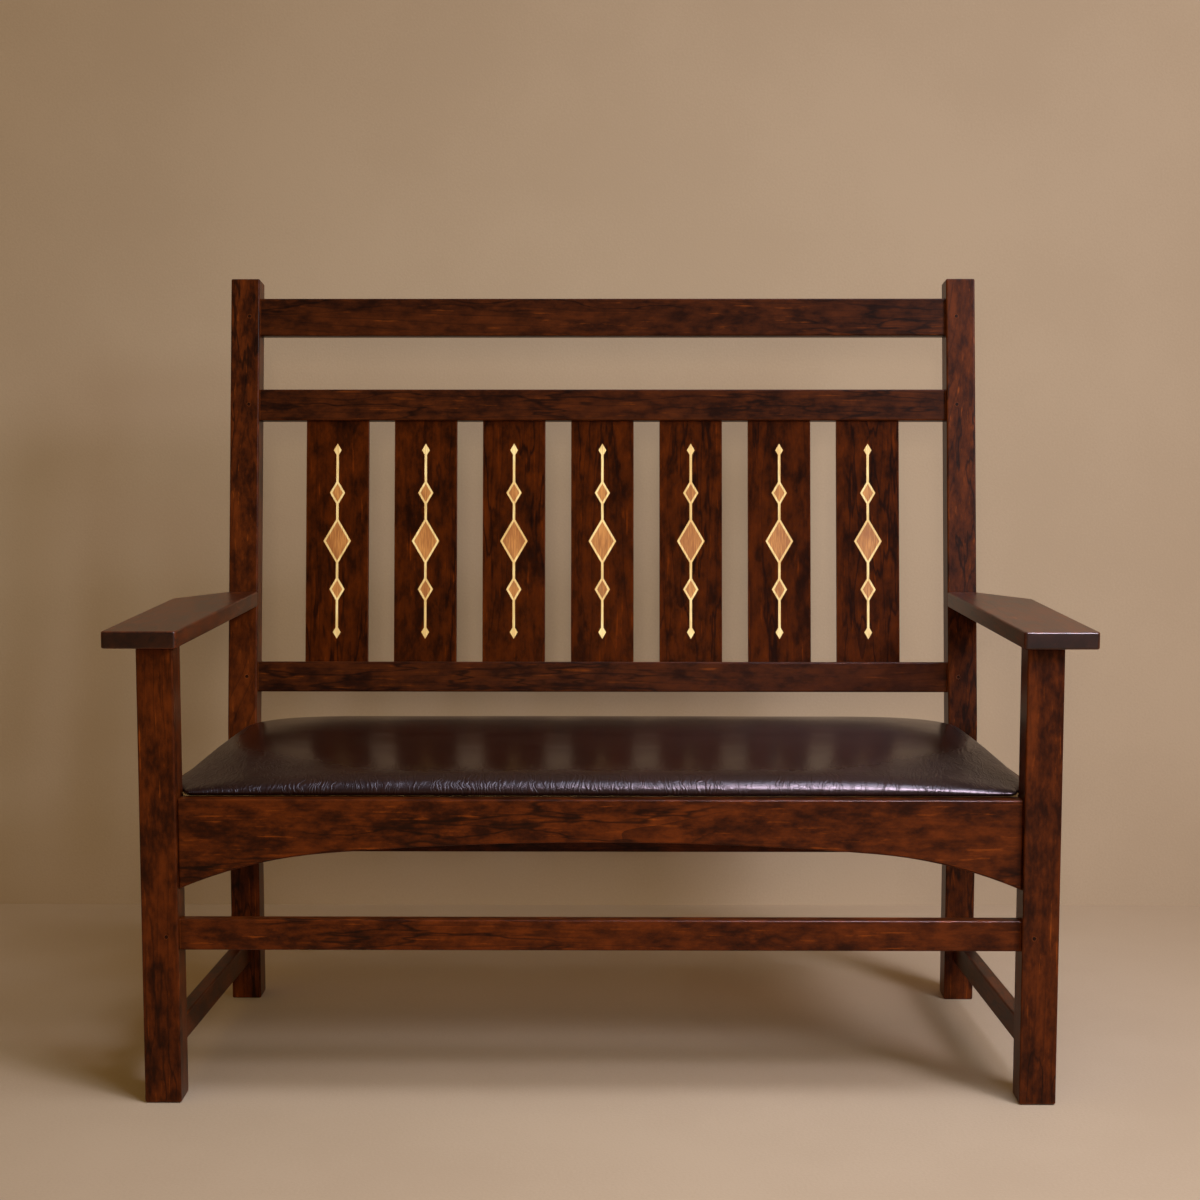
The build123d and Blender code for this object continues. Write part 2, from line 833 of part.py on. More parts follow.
def side_member(side):
    """A side member of the seat frame, halved under the front and back members."""
    half_z = seat_frame_low + seat_frame_thickness / 2
    with BuildPart() as piece:
        add(slab(seat_plan(leather), seat_frame_low, seat_rail_top))
        add(slab(frame_band(side), seat_frame_low, seat_rail_top), mode=Mode.INTERSECT)
        for front in (True, False):
            add(slab(frame_band(front=front), half_z, seat_rail_top + overrun), mode=Mode.SUBTRACT)
        cut_frame_holes()
    return piece


def brace_blank(low, high, lap):
    """The seat frame's middle brace, longer than the clear space by a lap at each end."""
    plan = seat_plan(leather)
    near = plan[0][1] + seat_frame_width - lap
    far = plan[5][1] - seat_frame_width + lap
    half = seat_brace_width / 2
    return slab([(-half, near), (half, near), (half, far), (-half, far)], low, high)


def seat_brace():
    """The middle brace, with a half lap at each end."""
    half_z = seat_frame_low + seat_frame_thickness / 2
    with BuildPart() as piece:
        add(brace_blank(half_z, seat_rail_top, brace_lap))
        add(brace_blank(seat_frame_low, half_z, 0))
    return piece


def cut_frame_holes():
    """Cuts the seat screws' and tacks' holes from the frame member being made."""
    add(seat_screw_holes, mode=Mode.SUBTRACT)
    add(tack_holes, mode=Mode.SUBTRACT)


def seat_deck():
    """The thin board on the seat frame."""
    with BuildPart() as piece:
        add(slab(seat_plan(leather), seat_rail_top, deck_top))
    return piece


def seat_foam():
    """The crowned foam on the deck."""
    with BuildPart() as piece:
        add(pad_form(leather + foam_gap))
        split(bisect_by=Plane.XY.offset(deck_top), keep=Keep.TOP)
    return piece


def seat_cover():
    """The leather cover: over the foam, down inside the rails and turned under the frame."""
    with BuildPart() as piece:
        add(pad_form())
        add(slab(seat_plan(), hem_low, roll_low))
        add(pad_form(leather), mode=Mode.SUBTRACT)
        add(slab(seat_plan(leather), seat_frame_low, deck_top), mode=Mode.SUBTRACT)
        add(slab(seat_plan(hem), hem_low - overrun, seat_frame_low), mode=Mode.SUBTRACT)
        add(seat_screw_holes, mode=Mode.SUBTRACT)
        add(tack_holes, mode=Mode.SUBTRACT)
    return piece


def drilled(piece, holes):
    """A piece with more holes cut from it."""
    with BuildPart() as result:
        add(piece.part)
        add(holes, mode=Mode.SUBTRACT)
    return result


os.makedirs("parts", exist_ok=True)

peg_holes = pegs(joint_clearance).part
all_screws = block_screw_places() + seat_screw_places() + ledger_screw_places()
screw_holes = screws(all_screws, screw_clearance, block_reach).part
pilot_holes = screws(block_screw_places() + ledger_screw_places(), screw_clearance).part
seat_screw_holes = screws(seat_screw_places(), screw_clearance).part
tack_holes = tacks(screw_clearance).part

for side_name, side in sides.items():
    save(front_leg(side), f"front_leg_{side_name}")
    save(back_post(side), f"back_post_{side_name}")
    save(drilled(side_rail(side_seat_rail, side), pilot_holes), f"side_seat_rail_{side_name}")
    save(side_rail(side_stretcher, side), f"side_stretcher_{side_name}")
    save(arm(side), f"arm_{side_name}")
    save(corner_block(side, True), f"corner_block_front_{side_name}")
    save(corner_block(side, False), f"corner_block_back_{side_name}")
    save(side_member(side), f"seat_frame_{side_name}")

save(plain_rail(crest_rail), "crest_rail")
save(slatted_rail(upper_back_rail), "upper_back_rail")
save(slatted_rail(lower_back_rail), "lower_back_rail")
save(drilled(arched_rail(front_seat_rail), pilot_holes), "front_seat_rail")
save(drilled(plain_rail(back_seat_rail), pilot_holes), "back_seat_rail")
save(plain_rail(front_stretcher), "front_stretcher")
save(plain_rail(back_stretcher), "back_stretcher")
save(ledger(True), "seat_ledger_front")
save(ledger(False), "seat_ledger_back")

for number, place in enumerate(slat_places(), start=1):
    save(back_slat(place), f"back_slat_{number}")
    save(inlay_line_piece(place), f"inlay_line_{number}")
    save(inlay_field_piece(place), f"inlay_field_{number}")

save(cross_member(True), "seat_frame_front")
save(cross_member(False), "seat_frame_back")
save(seat_brace(), "seat_frame_brace")
save(seat_deck(), "seat_deck")
save(seat_foam(), "seat_foam")
save(seat_cover(), "seat_cover")

save(pegs(), "joint_pegs")
save(screws(block_screw_places()), "corner_block_screws")
save(screws(seat_screw_places()), "seat_screws")
save(screws(ledger_screw_places()), "ledger_screws")
save(tacks(), "cover_tacks")
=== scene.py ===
"""Settee with a slatted leaning back and a leather slip seat: its finishes, its cushion and its studio."""

import logging
import math
from collections.abc import Mapping, Sequence
from dataclasses import dataclass, field
from enum import Enum
from typing import Any

import bpy
import numpy as np
from mathutils import Euler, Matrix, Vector


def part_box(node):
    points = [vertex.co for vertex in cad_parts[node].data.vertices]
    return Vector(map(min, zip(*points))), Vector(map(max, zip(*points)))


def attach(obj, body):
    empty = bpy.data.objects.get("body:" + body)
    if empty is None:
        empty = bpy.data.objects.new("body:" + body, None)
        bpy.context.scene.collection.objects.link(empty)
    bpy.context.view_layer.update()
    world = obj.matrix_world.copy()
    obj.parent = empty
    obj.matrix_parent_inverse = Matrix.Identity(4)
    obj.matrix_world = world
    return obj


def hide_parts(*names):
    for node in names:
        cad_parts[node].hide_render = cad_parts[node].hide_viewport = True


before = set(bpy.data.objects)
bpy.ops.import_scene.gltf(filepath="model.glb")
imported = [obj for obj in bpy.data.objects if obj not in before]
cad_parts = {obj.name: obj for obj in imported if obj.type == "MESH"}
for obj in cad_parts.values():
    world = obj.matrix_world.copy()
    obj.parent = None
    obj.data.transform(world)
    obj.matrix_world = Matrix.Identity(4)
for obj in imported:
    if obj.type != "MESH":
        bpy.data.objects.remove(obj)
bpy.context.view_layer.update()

log = logging.getLogger("settee")

BODY = "root"
Colour = tuple[float, float, float]
Corner = tuple[float, float, float]


def linear(red: int, green: int, blue: int) -> Colour:
    """Turns a screen colour into the scene's linear one.

    Args:
        red: Red from 0 to 255.
        green: Green from 0 to 255.
        blue: Blue from 0 to 255.

    Returns:
        The linear colour: c / 12.92 in the darkest shades, otherwise ((c + 0.055) / 1.055) to the power 2.4.
    """
    shades = np.array((red, green, blue)) / 255
    low = shades / 12.92
    high = ((shades + 0.055) / 1.055) ** 2.4
    return tuple(float(v) for v in np.where(shades <= 0.04045, low, high))


class Grain(Enum):
    """Which way the fibres of a member run."""

    ACROSS = "across"
    FRONT_TO_BACK = "front to back"
    UPRIGHT = "upright"
    LEANING = "leaning"


class Sawing(Enum):
    """How a board was cut from the log, which sets where the log's middle lies beside it."""

    FLAT = "flat"
    RIFT = "rift"


@dataclass(frozen=True)
class Signal:
    """One output of a node, with sums that add Math nodes."""

    sheet: "NodeSheet"
    socket: bpy.types.NodeSocket

    def __add__(self, other: "Operand") -> "Signal":
        """Self plus other."""
        return self.sheet.math("ADD", self, other)

    def __radd__(self, other: "Operand") -> "Signal":
        """Other plus self."""
        return self.sheet.math("ADD", other, self)

    def __sub__(self, other: "Operand") -> "Signal":
        """Self less other."""
        return self.sheet.math("SUBTRACT", self, other)

    def __rsub__(self, other: "Operand") -> "Signal":
        """Other less self."""
        return self.sheet.math("SUBTRACT", other, self)

    def __mul__(self, other: "Operand") -> "Signal":
        """Self times other."""
        return self.sheet.math("MULTIPLY", self, other)

    def __rmul__(self, other: "Operand") -> "Signal":
        """Other times self."""
        return self.sheet.math("MULTIPLY", other, self)

    def __truediv__(self, other: "Operand") -> "Signal":
        """Self over other."""
        return self.sheet.math("DIVIDE", self, other)

    def __rtruediv__(self, other: "Operand") -> "Signal":
        """Other over self."""
        return self.sheet.math("DIVIDE", other, self)

    def __pow__(self, other: "Operand") -> "Signal":
        """Self to the power other."""
        return self.sheet.math("POWER", self, other)


Operand = Signal | float


@dataclass(frozen=True)
class Pattern:
    """A cloudy pattern: its repeats in a metre along each axis, number, layers and their strength."""

    scales: Corner
    number: float
    detail: float = 3.0
    rough: float = 0.55


@dataclass(frozen=True)
class Mask:
    """Where a mask starts, where it is full and how strong it then is."""

    start: float
    full: float
    strength: float = 1.0


class NodeSheet:
    """The nodes of one material or of the world."""

    def __init__(self, tree: bpy.types.NodeTree) -> None:
        """Clears a node tree to start from.

        Args:
            tree: The tree to fill.
        """
        self.tree = tree
        self.tree.nodes.clear()

    def node(
        self,
        kind: str,
        settings: Mapping[str, Any] | None = None,
        inputs: Mapping[str | int, Any] | None = None,
    ) -> bpy.types.Node:
        """Adds a node.

        Args:
            kind: The node's type.
            settings: Its own settings.
            inputs: Values or signals for its sockets, by name or number.

        Returns:
            The new node.
        """
        made = self.tree.nodes.new(kind)
        for name, value in (settings or {}).items():
            setattr(made, name, value)
        for key, value in (inputs or {}).items():
            if isinstance(value, Signal):
                self.tree.links.new(value.socket, made.inputs[key])
            else:
                made.inputs[key].default_value = value
        return made

    def signal(self, kind: str, output: str | int = 0, **parts: Any) -> Signal:
        """Adds a node with the settings and inputs that node() takes, and takes one of its outputs."""
        return Signal(self, self.node(kind, **parts).outputs[output])

    def math(self, operation: str, first: Operand, second: Operand = 0.0) -> Signal:
        """Adds a Math node that does one sum with one or two values."""
        return self.signal("ShaderNodeMath", settings={"operation": operation}, inputs={0: first, 1: second})

    def masked(self, value: Operand, mask: Mask) -> Signal:
        """Maps a value smoothly from 0 at a mask's start to its strength where it is full.

        Args:
            value: The value.
            mask: The mask.

        Returns:
            The mapped value.
        """
        return self.signal(
            "ShaderNodeMapRange",
            settings={"interpolation_type": "SMOOTHSTEP"},
            inputs={"Value": value, "From Min": mask.start, "From Max": mask.full, "To Max": mask.strength},
        )

    def mix(self, share: Operand, first: Any, second: Any) -> Signal:
        """Mixes two colours.

        Args:
            share: How much of the second colour shows.
            first: The colour underneath.
            second: The colour on top.

        Returns:
            The mixed colour.
        """
        colours = [(*value, 1) if isinstance(value, tuple) else value for value in (first, second)]
        return self.signal(
            "ShaderNodeMix",
            output=2,
            settings={"data_type": "RGBA", "blend_type": "MIX"},
            inputs={0: share, 6: colours[0], 7: colours[1]},
        )

    def pattern(self, place: Signal, pattern: Pattern, seed: float = 0.0) -> Signal:
        """Cloudy values about 0.5 at a place: noise at the place times the pattern's scales.

        Args:
            place: The place.
            pattern: What the noise is like.
            seed: The piece's own number, which goes on top of the pattern's.

        Returns:
            The value.
        """
        stretched = self.signal(
            "ShaderNodeVectorMath", settings={"operation": "MULTIPLY"}, inputs={0: place, 1: pattern.scales}
        )
        return self.signal(
            "ShaderNodeTexNoise",
            settings={"noise_dimensions": "4D"},
            inputs={
                "Vector": stretched,
                "W": seed + pattern.number,
                "Scale": 1.0,
                "Detail": pattern.detail,
                "Roughness": pattern.rough,
            },
        )

    def place(self) -> Signal:
        """Where a point lies, in the object's own coordinates."""
        return self.signal("ShaderNodeTexCoord", output="Object")

    def edge_mask(self, radius: float, reach: float) -> Signal:
        """How far a point lies on an eased edge, from how much a wider rounding would turn it.

        Args:
            radius: How far round the point the surface is looked at.
            reach: The turn at which the mask is full.

        Returns:
            A mask that is 1 on an edge and 0 on a flat face.
        """
        rounded = self.signal("ShaderNodeBevel", settings={"samples": 4}, inputs={"Radius": radius})
        flat = self.signal("ShaderNodeNewGeometry", output="Normal")
        facing = self.signal(
            "ShaderNodeVectorMath",
            output="Value",
            settings={"operation": "DOT_PRODUCT"},
            inputs={0: rounded, 1: flat},
        )
        return self.masked(1 - facing, Mask(0.0, reach))

    def facing(self, axis: Corner, mask: Mask) -> Signal:
        """How squarely a face looks along an axis, either way, as end grain does.

        Args:
            axis: The axis, one long.
            mask: The cosines between face and axis at which the result starts and is full.

        Returns:
            The mask's strength on a face across the axis and 0 on a face along it.
        """
        along = self.signal(
            "ShaderNodeVectorMath",
            output="Value",
            settings={"operation": "DOT_PRODUCT"},
            inputs={0: self.signal("ShaderNodeNewGeometry", output="True Normal"), 1: axis},
        )
        return self.masked(self.math("ABSOLUTE", along), mask)

    def bump(self, height: Signal, distance: float, strength: float = 1.0) -> Signal:
        """Turns a height into a normal.

        Args:
            height: The height, from 0 to 1.
            distance: How high 1 is, in metres.
            strength: How much of it shows.

        Returns:
            The normal.
        """
        return self.signal(
            "ShaderNodeBump", inputs={"Strength": strength, "Distance": distance, "Height": height}
        )

    def surface(self, **inputs: Any) -> None:
        """Ends a material in one plain surface.

        Args:
            **inputs: The surface's values, with _ for each space in a socket's name.
        """
        named = {name.replace("_", " "): value for name, value in inputs.items()}
        shader = self.node("ShaderNodeBsdfPrincipled", inputs=named)
        self.node("ShaderNodeOutputMaterial", inputs={"Surface": Signal(self, shader.outputs[0])})


def new_material(name: str) -> tuple[bpy.types.Material, NodeSheet]:
    """Makes an empty material.

    Args:
        name: Its name.

    Returns:
        The material and its nodes.
    """
    material = bpy.data.materials.new(name)
    material.use_nodes = True
    return material, NodeSheet(material.node_tree)


@dataclass(frozen=True)
class Board:
    """How one wooden member was cut: its middle, its fibres' direction and its own seed."""

    name: str
    middle: Corner
    grain: Grain
    sawing: Sawing
    seed: int


@dataclass(frozen=True)
class StainedWood:
    """Dark stained cherry under satin lacquer."""

    deep: Colour = linear(21, 7, 3)
    body: Colour = linear(42, 14, 4)
    warm: Colour = linear(92, 38, 8)
    bright: Colour = linear(124, 56, 13)
    # worn: the lighter colour on eased edges, partly real wear and partly a painted highlight of the edges
    # catching light
    worn: Colour = linear(128, 60, 20)
    gloss: float = 0.1
    roughness: float = 0.29
    lean_degrees: float = 7.9
    ring_width: float = 0.008
    ring_bend: float = 0.05
    late_power: float = 9.0
    flat_depth: float = 0.055
    rift_depth: float = 0.09
    aside_spread: float = 0.012
    slope_spread: float = 0.03
    seed_spread: float = 50.0
    worn_and_highlight_radius: float = 0.0024
    worn_and_highlight_turn: float = 0.14
    relief: float = 0.0001
    bend: Pattern = Pattern((1.6, 7.0, 7.0), 0.0, 2.0)
    tone: Pattern = Pattern((3.0, 17.0, 17.0), 3.0)
    figure: Pattern = Pattern((26.0, 60.0, 60.0), 7.0, 6.0, 0.68)
    dash: Pattern = Pattern((15.0, 290.0, 290.0), 29.0, 3.0, 0.5)
    wave: Pattern = Pattern((6.0, 42.0, 42.0), 37.0, 3.0, 0.5)
    streak: Pattern = Pattern((15.0, 360.0, 360.0), 11.0)
    fibre: Pattern = Pattern((45.0, 1400.0, 1400.0), 17.0, 2.0)
    fleck: Pattern = Pattern((260.0, 1300.0, 1300.0), 23.0, 1.0)
    light: Mask = Mask(0.37, 0.66)
    shade: Mask = Mask(0.49, 0.36, 0.36)
    bright_line: Mask = Mask(0.585, 0.68, 0.7)
    vein: Mask = Mask(0.03, 0.0, 0.8)
    vein_run: Mask = Mask(0.46, 0.54)
    ring_line: Mask = Mask(0.44, 0.54, 0.6)
    pore: Mask = Mask(0.68, 0.76)
    end_grain: Mask = Mask(0.75, 0.97, 0.8)

    def turn(self, grain: Grain) -> Euler:
        """The turn that carries the X axis onto the fibres' direction.

        Args:
            grain: The fibres' direction.

        Returns:
            The turn.
        """
        quarter = math.pi / 2
        turns = {
            Grain.ACROSS: Euler((0, 0, 0)),
            Grain.FRONT_TO_BACK: Euler((0, 0, quarter)),
            Grain.UPRIGHT: Euler((0, -quarter, 0)),
            Grain.LEANING: (
                Euler((-math.radians(self.lean_degrees), 0, 0)).to_matrix()
                @ Euler((0, -quarter, 0)).to_matrix()
            ).to_euler(),
        }
        return turns[grain]

    def material(self, board: Board) -> bpy.types.Material:
        """Makes the wood of one member.

        The yearly rings are round the log's middle, which runs beside the member: their number at a
        point is its distance from that line, bent by slow noise, over the ring's width.

        Args:
            board: How the member was cut.

        Returns:
            Its material.
        """
        material, sheet = new_material(f"stained_wood_{board.name}")
        chance = np.random.default_rng(board.seed)
        local = sheet.signal(
            "ShaderNodeMapping",
            settings={"vector_type": "TEXTURE"},
            inputs={
                "Vector": sheet.place(),
                "Location": board.middle,
                "Rotation": tuple(self.turn(board.grain)),
            },
        )
        parts = sheet.node("ShaderNodeSeparateXYZ", inputs={0: local})
        along, deep, wide = (Signal(sheet, parts.outputs[number]) for number in range(3))
        seed = float(chance.uniform(0, self.seed_spread))
        depth = self.flat_depth if board.sawing is Sawing.FLAT else self.rift_depth
        spread = self.aside_spread
        aside = chance.uniform(-spread, spread) if board.sawing is Sawing.FLAT else depth
        bend = sheet.pattern(local, self.bend, seed)
        slope = float(chance.uniform(-self.slope_spread, self.slope_spread))
        across = sheet.math("SQRT", (deep - depth) ** 2.0 + (wide - float(aside)) ** 2.0)
        rings = (across + along * slope + (bend - 0.5) * self.ring_bend) / self.ring_width
        late = sheet.math("FRACT", rings) ** self.late_power

        patterns = (self.tone, self.figure, self.dash, self.wave, self.streak, self.fibre, self.fleck)
        tone, figure, dash, wave, streak, fibre, fleck = (
            sheet.pattern(local, pattern, seed) for pattern in patterns
        )

        light = sheet.masked(tone * 0.25 + figure * 0.65 + streak * 0.1, self.light)
        colour = sheet.mix(light, self.body, self.warm)
        shade = sheet.masked(tone * 0.4 + figure * 0.6, self.shade)
        colour = sheet.mix(shade, colour, self.deep)
        bright_line = sheet.masked(dash * 0.7 + figure * 0.3, self.bright_line)
        colour = sheet.mix(bright_line, colour, self.bright)
        vein = sheet.masked(sheet.math("ABSOLUTE", wave - 0.5), self.vein)
        colour = sheet.mix(vein * sheet.masked(bend, self.vein_run), colour, self.deep)
        ring_line = late * sheet.masked(bend * 0.5 + tone * 0.5, self.ring_line)
        colour = sheet.mix(ring_line, colour, self.deep)
        pores = sheet.masked(fleck, self.pore)
        colour = sheet.mix(pores * 0.5, colour, self.deep)
        # Eased edges are lightened towards the worn colour: partly real wear, partly a painted highlight
        # along the edges
        edge = sheet.edge_mask(self.worn_and_highlight_radius, self.worn_and_highlight_turn)
        colour = sheet.mix(edge * (0.25 + 0.5 * figure), colour, self.worn)
        axis = Vector((1, 0, 0))
        axis.rotate(self.turn(board.grain))
        colour = sheet.mix(sheet.facing(tuple(axis), self.end_grain), colour, self.deep)

        height = fibre * 0.35 + streak * 0.35 - pores * 0.5 - late * 0.15
        sheet.surface(
            Base_Color=colour,
            Roughness=self.roughness + 0.10 * figure + 0.10 * pores,
            Normal=sheet.bump(height, self.relief, 0.7),
            Specular_IOR_Level=self.gloss,
        )
        return material


# A darker copy of the stained wood for the back rails: painted shade, standing for the shade the back lies in
PAINTED_SHADE_RAIL_WOOD = StainedWood(
    deep=linear(19, 6, 3),
    body=linear(36, 13, 5),
    warm=linear(72, 30, 8),
    bright=linear(106, 48, 12),
    gloss=0.08,
)
# A darker copy of the stained wood for the slats: painted shade, standing for the shade the back lies in
PAINTED_SHADE_SLAT_WOOD = StainedWood(
    deep=linear(15, 4, 2),
    body=linear(31, 9, 2),
    warm=linear(76, 28, 3),
    bright=linear(98, 38, 5),
    gloss=0.04,
)
ARM_WOOD = StainedWood(gloss=0.4)


@dataclass(frozen=True)
class InlayWood:
    """A light wood let into the slats, under the same lacquer."""

    name: str
    body: Colour
    vein: Colour
    line: Pattern = Pattern((900.0, 300.0, 30.0), 2.0)
    tone: Pattern = Pattern((30.0, 30.0, 9.0), 5.0, 2.0)
    ground: Mask = Mask(0.42, 0.62)
    roughness: float = 0.36
    edge_radius: float = 0.0006
    edge_turn: float = 0.2
    relief: float = 0.00005

    def material(self) -> bpy.types.Material:
        """Makes the inlay's wood: fine upright lines on an even ground.

        Returns:
            The material.
        """
        material, sheet = new_material(self.name)
        local = sheet.place()
        line, tone = sheet.pattern(local, self.line), sheet.pattern(local, self.tone)
        colour = sheet.mix(sheet.masked(line * 0.6 + tone * 0.4, self.ground), self.vein, self.body)
        edge = sheet.edge_mask(self.edge_radius, self.edge_turn)
        colour = sheet.mix(edge * 0.5, colour, self.vein)
        sheet.surface(
            Base_Color=colour,
            Roughness=self.roughness + 0.08 * tone,
            Normal=sheet.bump(line, self.relief, 0.5),
            Coat_Weight=0.2,
            Coat_Roughness=0.15,
        )
        return material


@dataclass(frozen=True)
class Leather:
    """Dark brown upholstery leather with a fine pebble and short soft creases."""

    # deep: the colour of the painted shade in the pebble's hollows and in the creases
    deep: Colour = linear(20, 8, 6)
    body: Colour = linear(26, 9, 5)
    rubbed: Colour = linear(36, 13, 8)
    tint: Colour = (1.0, 0.84, 0.90)
    roughness: float = 0.18
    relief: float = 0.0005
    pebbles_per_metre: float = 330.0
    slow: Pattern = Pattern((38.0, 38.0, 38.0), 1.0, 2.0)
    broad: Pattern = Pattern((6.0, 10.0, 10.0), 4.0)
    cloud: Pattern = Pattern((26.0, 34.0, 34.0), 12.0)
    fold: Pattern = Pattern((210.0, 26.0, 26.0), 9.0, 1.0, 0.5)
    worn: Mask = Mask(0.38, 0.66)
    # groove: darkens the hollows between the pebbles, a painted shade in the grain
    groove_shade: Mask = Mask(0.75, 0.5, 0.4)
    valley: Mask = Mask(0.16, 0.0)
    creased: Mask = Mask(0.36, 0.58, 0.55)
    bent_over: Mask = Mask(0.4360, 0.4290)

    def material(self) -> bpy.types.Material:
        """Makes the leather.

        The pebble is the distance to the nearest of many cells about 3 mm wide. The creases are narrow
        valleys of a noise that is short from side to side and long from front to back, bent by slower
        noise.

        Returns:
            The material.
        """
        material, sheet = new_material("leather")
        local = sheet.place()
        slow = sheet.pattern(local, self.slow)
        bent = sheet.signal(
            "ShaderNodeVectorMath",
            settings={"operation": "MULTIPLY_ADD"},
            inputs={0: slow, 1: (0.03, 0.012, 0.012), 2: local},
        )
        pebble = sheet.signal(
            "ShaderNodeTexVoronoi",
            output="Distance",
            settings={"feature": "SMOOTH_F1"},
            inputs={
                "Vector": bent,
                "Scale": self.pebbles_per_metre,
                "Smoothness": 0.5,
                "Randomness": 0.9,
            },
        )
        dome = 1 - pebble ** 1.5
        broad, cloud = sheet.pattern(local, self.broad), sheet.pattern(local, self.cloud)
        fold = sheet.pattern(bent, self.fold)
        valley = sheet.masked(sheet.math("ABSOLUTE", fold - 0.5), self.valley)
        crease = valley * (1 - self.creased.strength + sheet.masked(cloud, self.creased))

        colour = sheet.mix(sheet.masked(broad * 0.6 + cloud * 0.4, self.worn), self.body, self.rubbed)
        # Painted shade in the hollows between the pebbles
        colour = sheet.mix(sheet.masked(dome, self.groove_shade), colour, self.deep)
        # Painted shade in the creases
        colour = sheet.mix(crease * 0.4, colour, self.deep)
        parts = sheet.node("ShaderNodeSeparateXYZ", inputs={0: local})
        bent_over = sheet.masked(Signal(sheet, parts.outputs[2]), self.bent_over)
        height = (dome * 0.2 + fold * 0.5 + cloud * 0.15 - crease * 0.9) * (0.06 + 0.94 * bent_over)
        sheet.surface(
            Base_Color=colour,
            Roughness=self.roughness + 0.08 * cloud + 0.15 * bent_over,
            Normal=sheet.bump(height, self.relief, 0.9),
            Specular_IOR_Level=0.5,
            Specular_Tint=(*self.tint, 1.0),
        )
        return material


@dataclass(frozen=True)
class PlainTimber:
    """Unfinished timber of the hidden seat frame, blocks and ledgers."""

    name: str
    pale: Colour
    dark: Colour
    plies: bool = False
    ply: float = 0.0013
    grain: Pattern = Pattern((6.0, 110.0, 110.0), 6.0, 4.0, 0.6)
    tone: Pattern = Pattern((4.0, 12.0, 12.0), 8.0, 2.0)
    light: Mask = Mask(0.36, 0.62)
    ply_line: Mask = Mask(0.45, 0.55, 0.35)
    roughness: float = 0.62
    relief: float = 0.0003

    def material(self) -> bpy.types.Material:
        """Makes the timber, with its layers where it is a board of plies.

        Returns:
            The material.
        """
        material, sheet = new_material(self.name)
        local = sheet.place()
        grain, tone = sheet.pattern(local, self.grain), sheet.pattern(local, self.tone)
        colour = sheet.mix(sheet.masked(grain * 0.7 + tone * 0.3, self.light), self.dark, self.pale)
        if self.plies:
            parts = sheet.node("ShaderNodeSeparateXYZ", inputs={0: local})
            layer = sheet.math("FRACT", Signal(sheet, parts.outputs[2]) / self.ply)
            colour = sheet.mix(sheet.masked(layer, self.ply_line), colour, self.dark)
        sheet.surface(
            Base_Color=colour,
            Roughness=self.roughness + 0.12 * tone,
            Normal=sheet.bump(grain, self.relief, 0.6),
        )
        return material


@dataclass(frozen=True)
class Steel:
    """Zinc-plated steel of the screws and tacks."""

    bright: Colour = linear(176, 172, 160)
    dull: Colour = linear(120, 112, 96)
    cloud: Pattern = Pattern((220.0, 220.0, 220.0), 3.0)
    dulled: Mask = Mask(0.45, 0.62)
    roughness: float = 0.30
    relief: float = 0.00005

    def material(self) -> bpy.types.Material:
        """Makes the steel, slightly dulled in patches.

        Returns:
            The material.
        """
        material, sheet = new_material("steel")
        cloud = sheet.pattern(sheet.place(), self.cloud)
        spot = sheet.masked(cloud, self.dulled)
        sheet.surface(
            Base_Color=sheet.mix(spot, self.bright, self.dull),
            Metallic=1.0,
            Roughness=self.roughness + 0.22 * spot,
            Normal=sheet.bump(cloud, self.relief, 0.6),
        )
        return material


def dress(node: str, material: bpy.types.Material) -> None:
    """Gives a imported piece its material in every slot.

    Args:
        node: The piece's name.
        material: Its material.
    """
    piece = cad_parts[node]
    for slot in piece.material_slots:
        slot.material = material
    log.info("%s is dressed in %s", node, material.name)


def middle_of(node: str) -> Corner:
    """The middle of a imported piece's box, in metres."""
    low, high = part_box(node)
    return tuple((low + high) / 2)


@dataclass
class WoodMembers:
    """A group of members that share one fibre direction and one way of sawing."""

    names: Sequence[str]
    grain: Grain
    sawing: Sawing
    first_seed: int
    finish: StainedWood = field(default_factory=StainedWood)

    def build(self) -> None:
        """Dresses each member in wood of its own cut."""
        for number, name in enumerate(self.names):
            board = Board(name, middle_of(name), self.grain, self.sawing, self.first_seed + number)
            dress(name, self.finish.material(board))


@dataclass
class SetteeFrame:
    """Legs, posts, rails, stretchers and arms."""

    ends: Sequence[str] = ("left", "right")
    back_rails: Sequence[str] = ("crest_rail", "upper_back_rail", "lower_back_rail")
    low_rails: Sequence[str] = ("back_seat_rail", "front_stretcher", "back_stretcher")

    def pair(self, member: str) -> list[str]:
        """The names of a member's left and right pieces."""
        return [f"{member}_{end}" for end in self.ends]

    def build(self) -> None:
        """Dresses every member along its own fibres."""
        groups = (
            WoodMembers(self.pair("front_leg"), Grain.UPRIGHT, Sawing.RIFT, 11),
            WoodMembers(self.pair("back_post"), Grain.UPRIGHT, Sawing.RIFT, 23),
            # The back rails take the darker copy of the wood, as painted shade
            WoodMembers(self.back_rails, Grain.ACROSS, Sawing.RIFT, 31, PAINTED_SHADE_RAIL_WOOD),
            WoodMembers(("front_seat_rail",), Grain.ACROSS, Sawing.FLAT, 41),
            WoodMembers(self.low_rails, Grain.ACROSS, Sawing.RIFT, 47),
            WoodMembers(self.pair("side_seat_rail"), Grain.FRONT_TO_BACK, Sawing.FLAT, 53),
            WoodMembers(self.pair("side_stretcher"), Grain.FRONT_TO_BACK, Sawing.RIFT, 59),
            WoodMembers(self.pair("arm"), Grain.FRONT_TO_BACK, Sawing.RIFT, 67, ARM_WOOD),
            WoodMembers(("joint_pegs",), Grain.FRONT_TO_BACK, Sawing.RIFT, 71),
        )
        for group in groups:
            group.build()


